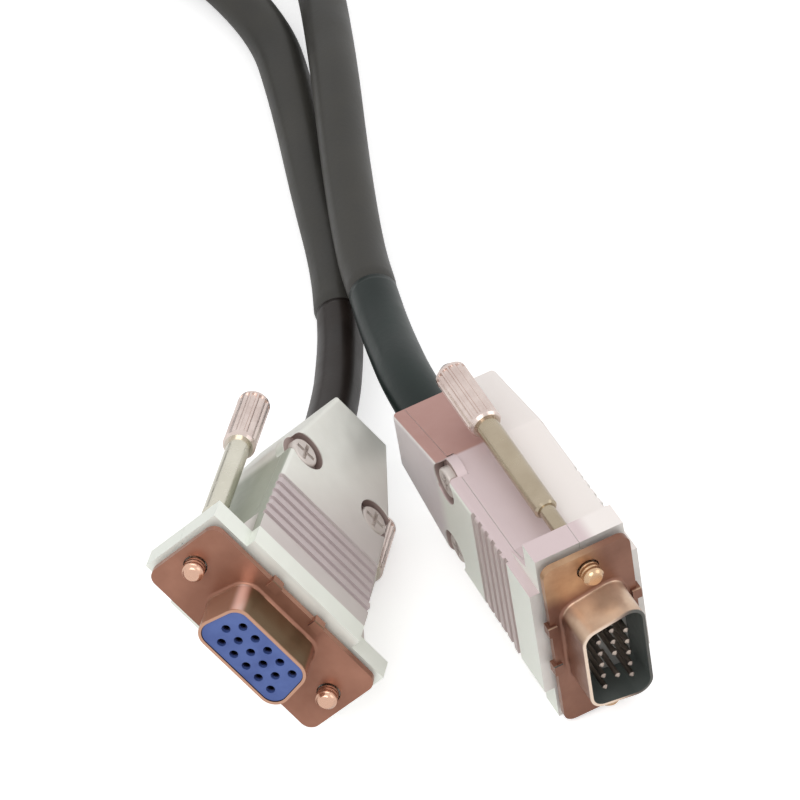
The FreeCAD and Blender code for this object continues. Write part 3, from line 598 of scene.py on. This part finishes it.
def finished(name, mesh):
    bmesh.ops.recalc_face_normals(mesh, faces=mesh.faces)
    data = bpy.data.meshes.new(name)
    mesh.to_mesh(data)
    mesh.free()
    for face in data.polygons:
        face.use_smooth = True
    piece = bpy.data.objects.new(name, data)
    bpy.context.scene.collection.objects.link(piece)
    return piece


def carry(piece, material, body="lead"):
    piece.data.materials.append(material)
    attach(piece, body)
    return piece


def sleeve(name, line, sizes, material):
    """Black sleeve from inside the hood to the grey jacket, tapering."""
    total = measured(line)

    def radius_at(along):
        return (sizes[0] + (sizes[1] - sizes[0]) * along / total) / 2

    return carry(tube(name, line, radius_at, 40), material)


def cable_radius(start, stop):
    """Thinner core under the sleeves, full jacket between them, with a rounded rim."""
    def radius_at(along):
        inwards = min(along - start, stop - along)
        if inwards < -1e-6:
            return CORE / 2
        return CABLE / 2 - (CABLE - SOCKET_SLEEVE[1]) / 2 * (1 - smooth(inwards / JACKET_RIM))
    return radius_at


def coil_tie():
    """Flat strap round the turns of the put-away length."""
    middle = COIL_RADII[1]
    half_wide = (COIL_RADII[0] - COIL_RADII[2]) / 2 + CABLE / 2
    low, high = LYING - CABLE / 2, LYING + 1.5 * CABLE + TIE_THICK
    corner = CABLE / 2
    outline = []
    for sx, sy, start in ((1, 1, 0), (-1, 1, 90), (-1, -1, 180), (1, -1, 270)):
        for k in range(5):
            a = math.radians(start + k * 22.5)
            outline.append((sx * (half_wide - corner) + corner * math.cos(a),
                            (high - corner if sy > 0 else low + corner + TIE_THICK)
                            + corner * math.sin(a)))
    across = Vector((math.cos(COIL_TIE_AT), math.sin(COIL_TIE_AT), 0))
    forward = Vector((-across.y, across.x, 0))
    centre = COIL_CENTRE + across * middle
    mesh = bmesh.new()
    rings = []
    for grow in (0.0, TIE_THICK):
        for side in (-0.5, 0.5):
            ring = []
            for x, z in outline:
                away = math.copysign(1, x) * grow if abs(x) > half_wide - corner else 0.0
                up = grow if z > LYING + CABLE / 2 else -grow
                spot = centre + across * (x + away) + forward * side * TIE_WIDTH
                ring.append(mesh.verts.new((spot.x, spot.y, z + up)))
            rings.append(ring)
    count = len(outline)
    for a, b in ((0, 1), (1, 3), (3, 2), (2, 0)):
        for k in range(count):
            mesh.faces.new((rings[a][k], rings[a][(k + 1) % count],
                            rings[b][(k + 1) % count], rings[b][k]))
    return finished("cable_tie", mesh)


def build_cable():
    jacket = plastic("jacket_grey", shade(41, 40, 37), shade(56, 54, 49), (0.40, 0.55),
                     patch=90, grain=1400, relief=0.3, coat=0.1, specular=0.35)
    plug_rubber = plastic("plug_sleeve_black", shade(12, 24, 22), shade(22, 34, 31), (0.30, 0.42),
                          patch=120, grain=900, relief=0.25, coat=0.08, specular=0.25)
    socket_rubber = plastic("socket_sleeve_black", shade(26, 19, 16), shade(40, 32, 28),
                            (0.30, 0.42), patch=120, grain=900, relief=0.25, coat=0.08,
                            specular=0.25)
    strap = plastic("tie_black", (0.012, 0.012, 0.012), (0.022, 0.022, 0.022), (0.6, 0.8),
                    grain=3000, relief=0.6)
    line = spline_points(cable_route())
    first, last = nearest(line, PLUG_JOIN), nearest(line, SOCKET_JOIN)
    plug_sleeve = sleeve("plug_sleeve", line[:first + 1], PLUG_SLEEVE, plug_rubber)
    socket_sleeve = sleeve("socket_sleeve", line[:last - 1:-1], SOCKET_SLEEVE, socket_rubber)
    jacket_spans = cable_radius(measured(line[:first + 1]), measured(line[:last + 1]))
    cable = carry(tube("cable", line, jacket_spans, 32), jacket)
    tie = carry(coil_tie(), strap)
    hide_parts("plug_boot")
    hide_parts("socket_boot")
    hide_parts("cable_plug_side", "cable_socket_side", "cable_coil")


# Stage, light and camera

def light_path_white(tree, mix_input):
    """One where the ray comes from the camera, a mirror or glass."""
    path = tree.nodes.new("ShaderNodeLightPath")
    first = add_node(tree, "ShaderNodeMath", operation="MAXIMUM")
    second = add_node(tree, "ShaderNodeMath", operation="MAXIMUM")
    tree.links.new(path.outputs["Is Camera Ray"], first.inputs[0])
    tree.links.new(path.outputs["Is Glossy Ray"], first.inputs[1])
    tree.links.new(first.outputs[0], second.inputs[0])
    tree.links.new(path.outputs["Is Transmission Ray"], second.inputs[1])
    tree.links.new(second.outputs[0], mix_input)


def build_world():
    world = bpy.data.worlds.new("studio")
    bpy.context.scene.world = world
    world.use_nodes = True
    tree = world.node_tree
    plain = tree.nodes["Background"]
    plain.inputs["Color"].default_value = (1, 1, 1, 1)
    plain.inputs["Strength"].default_value = SKY_ON_OBJECT
    bright = add_node(tree, "ShaderNodeBackground", Strength=SKY_SEEN)
    bright.inputs["Color"].default_value = (1, 1, 1, 1)
    mix = tree.nodes.new("ShaderNodeMixShader")
    light_path_white(tree, mix.inputs["Fac"])
    tree.links.new(plain.outputs[0], mix.inputs[1])
    tree.links.new(bright.outputs[0], mix.inputs[2])
    tree.links.new(mix.outputs[0], tree.nodes["World Output"].inputs["Surface"])


def build_floor():
    mesh = bmesh.new()
    bmesh.ops.create_grid(mesh, x_segments=1, y_segments=1, size=FLOOR_HALF)
    floor = finished("floor", mesh)
    floor.location.z = FLOOR - FLOOR_GAP
    material, tree, bsdf = new_material("floor_white")
    bsdf.inputs["Base Color"].default_value = (0.94, 0.94, 0.94, 1)
    bsdf.inputs["Roughness"].default_value = 0.9
    bsdf.inputs["Emission Color"].default_value = (1, 1, 1, 1)
    path = tree.nodes.new("ShaderNodeLightPath")
    lift = add_node(tree, "ShaderNodeMath", operation="MULTIPLY")
    tree.links.new(path.outputs["Is Camera Ray"], lift.inputs[0])
    lift.inputs[1].default_value = FLOOR_LIFT
    tree.links.new(lift.outputs[0], bsdf.inputs["Emission Strength"])
    floor.data.materials.append(material)


def area_light(name, spot, aim, size, power):
    data = bpy.data.lights.new(name, "AREA")
    data.size = size
    data.energy = power
    lamp = bpy.data.objects.new(name, data)
    lamp.location = spot
    lamp.rotation_euler = (Vector(aim) - Vector(spot)).to_track_quat("-Z", "Y").to_euler()
    bpy.context.scene.collection.objects.link(lamp)


def build_lights():
    area_light("key", (-0.7, -0.6, 1.1), LIGHT_AIM, 0.9, 7.0)
    area_light("fill", (0.9, -0.3, 0.7), LIGHT_AIM, 0.8, 2.5)


def build_camera():
    away = Vector((-math.sin(CAMERA_AZIMUTH) * math.cos(CAMERA_ELEVATION),
                   math.cos(CAMERA_AZIMUTH) * math.cos(CAMERA_ELEVATION),
                   -math.sin(CAMERA_ELEVATION)))
    data = bpy.data.cameras.new("photo_view")
    data.sensor_fit = "HORIZONTAL"
    data.sensor_width = 36
    data.lens = CAMERA_LENS_MM
    data.clip_start = 0.01
    camera = bpy.data.objects.new("photo_view", data)
    camera.location = CAMERA_AIM - away * CAMERA_DISTANCE
    camera.rotation_euler = away.to_track_quat("-Z", "Y").to_euler()
    bpy.context.scene.collection.objects.link(camera)
    bpy.context.scene.camera = camera


build_camera()
build_cable()
dress_nodes()
build_world()
build_floor()
build_lights()
bpy.context.scene.view_settings.view_transform = "Standard"
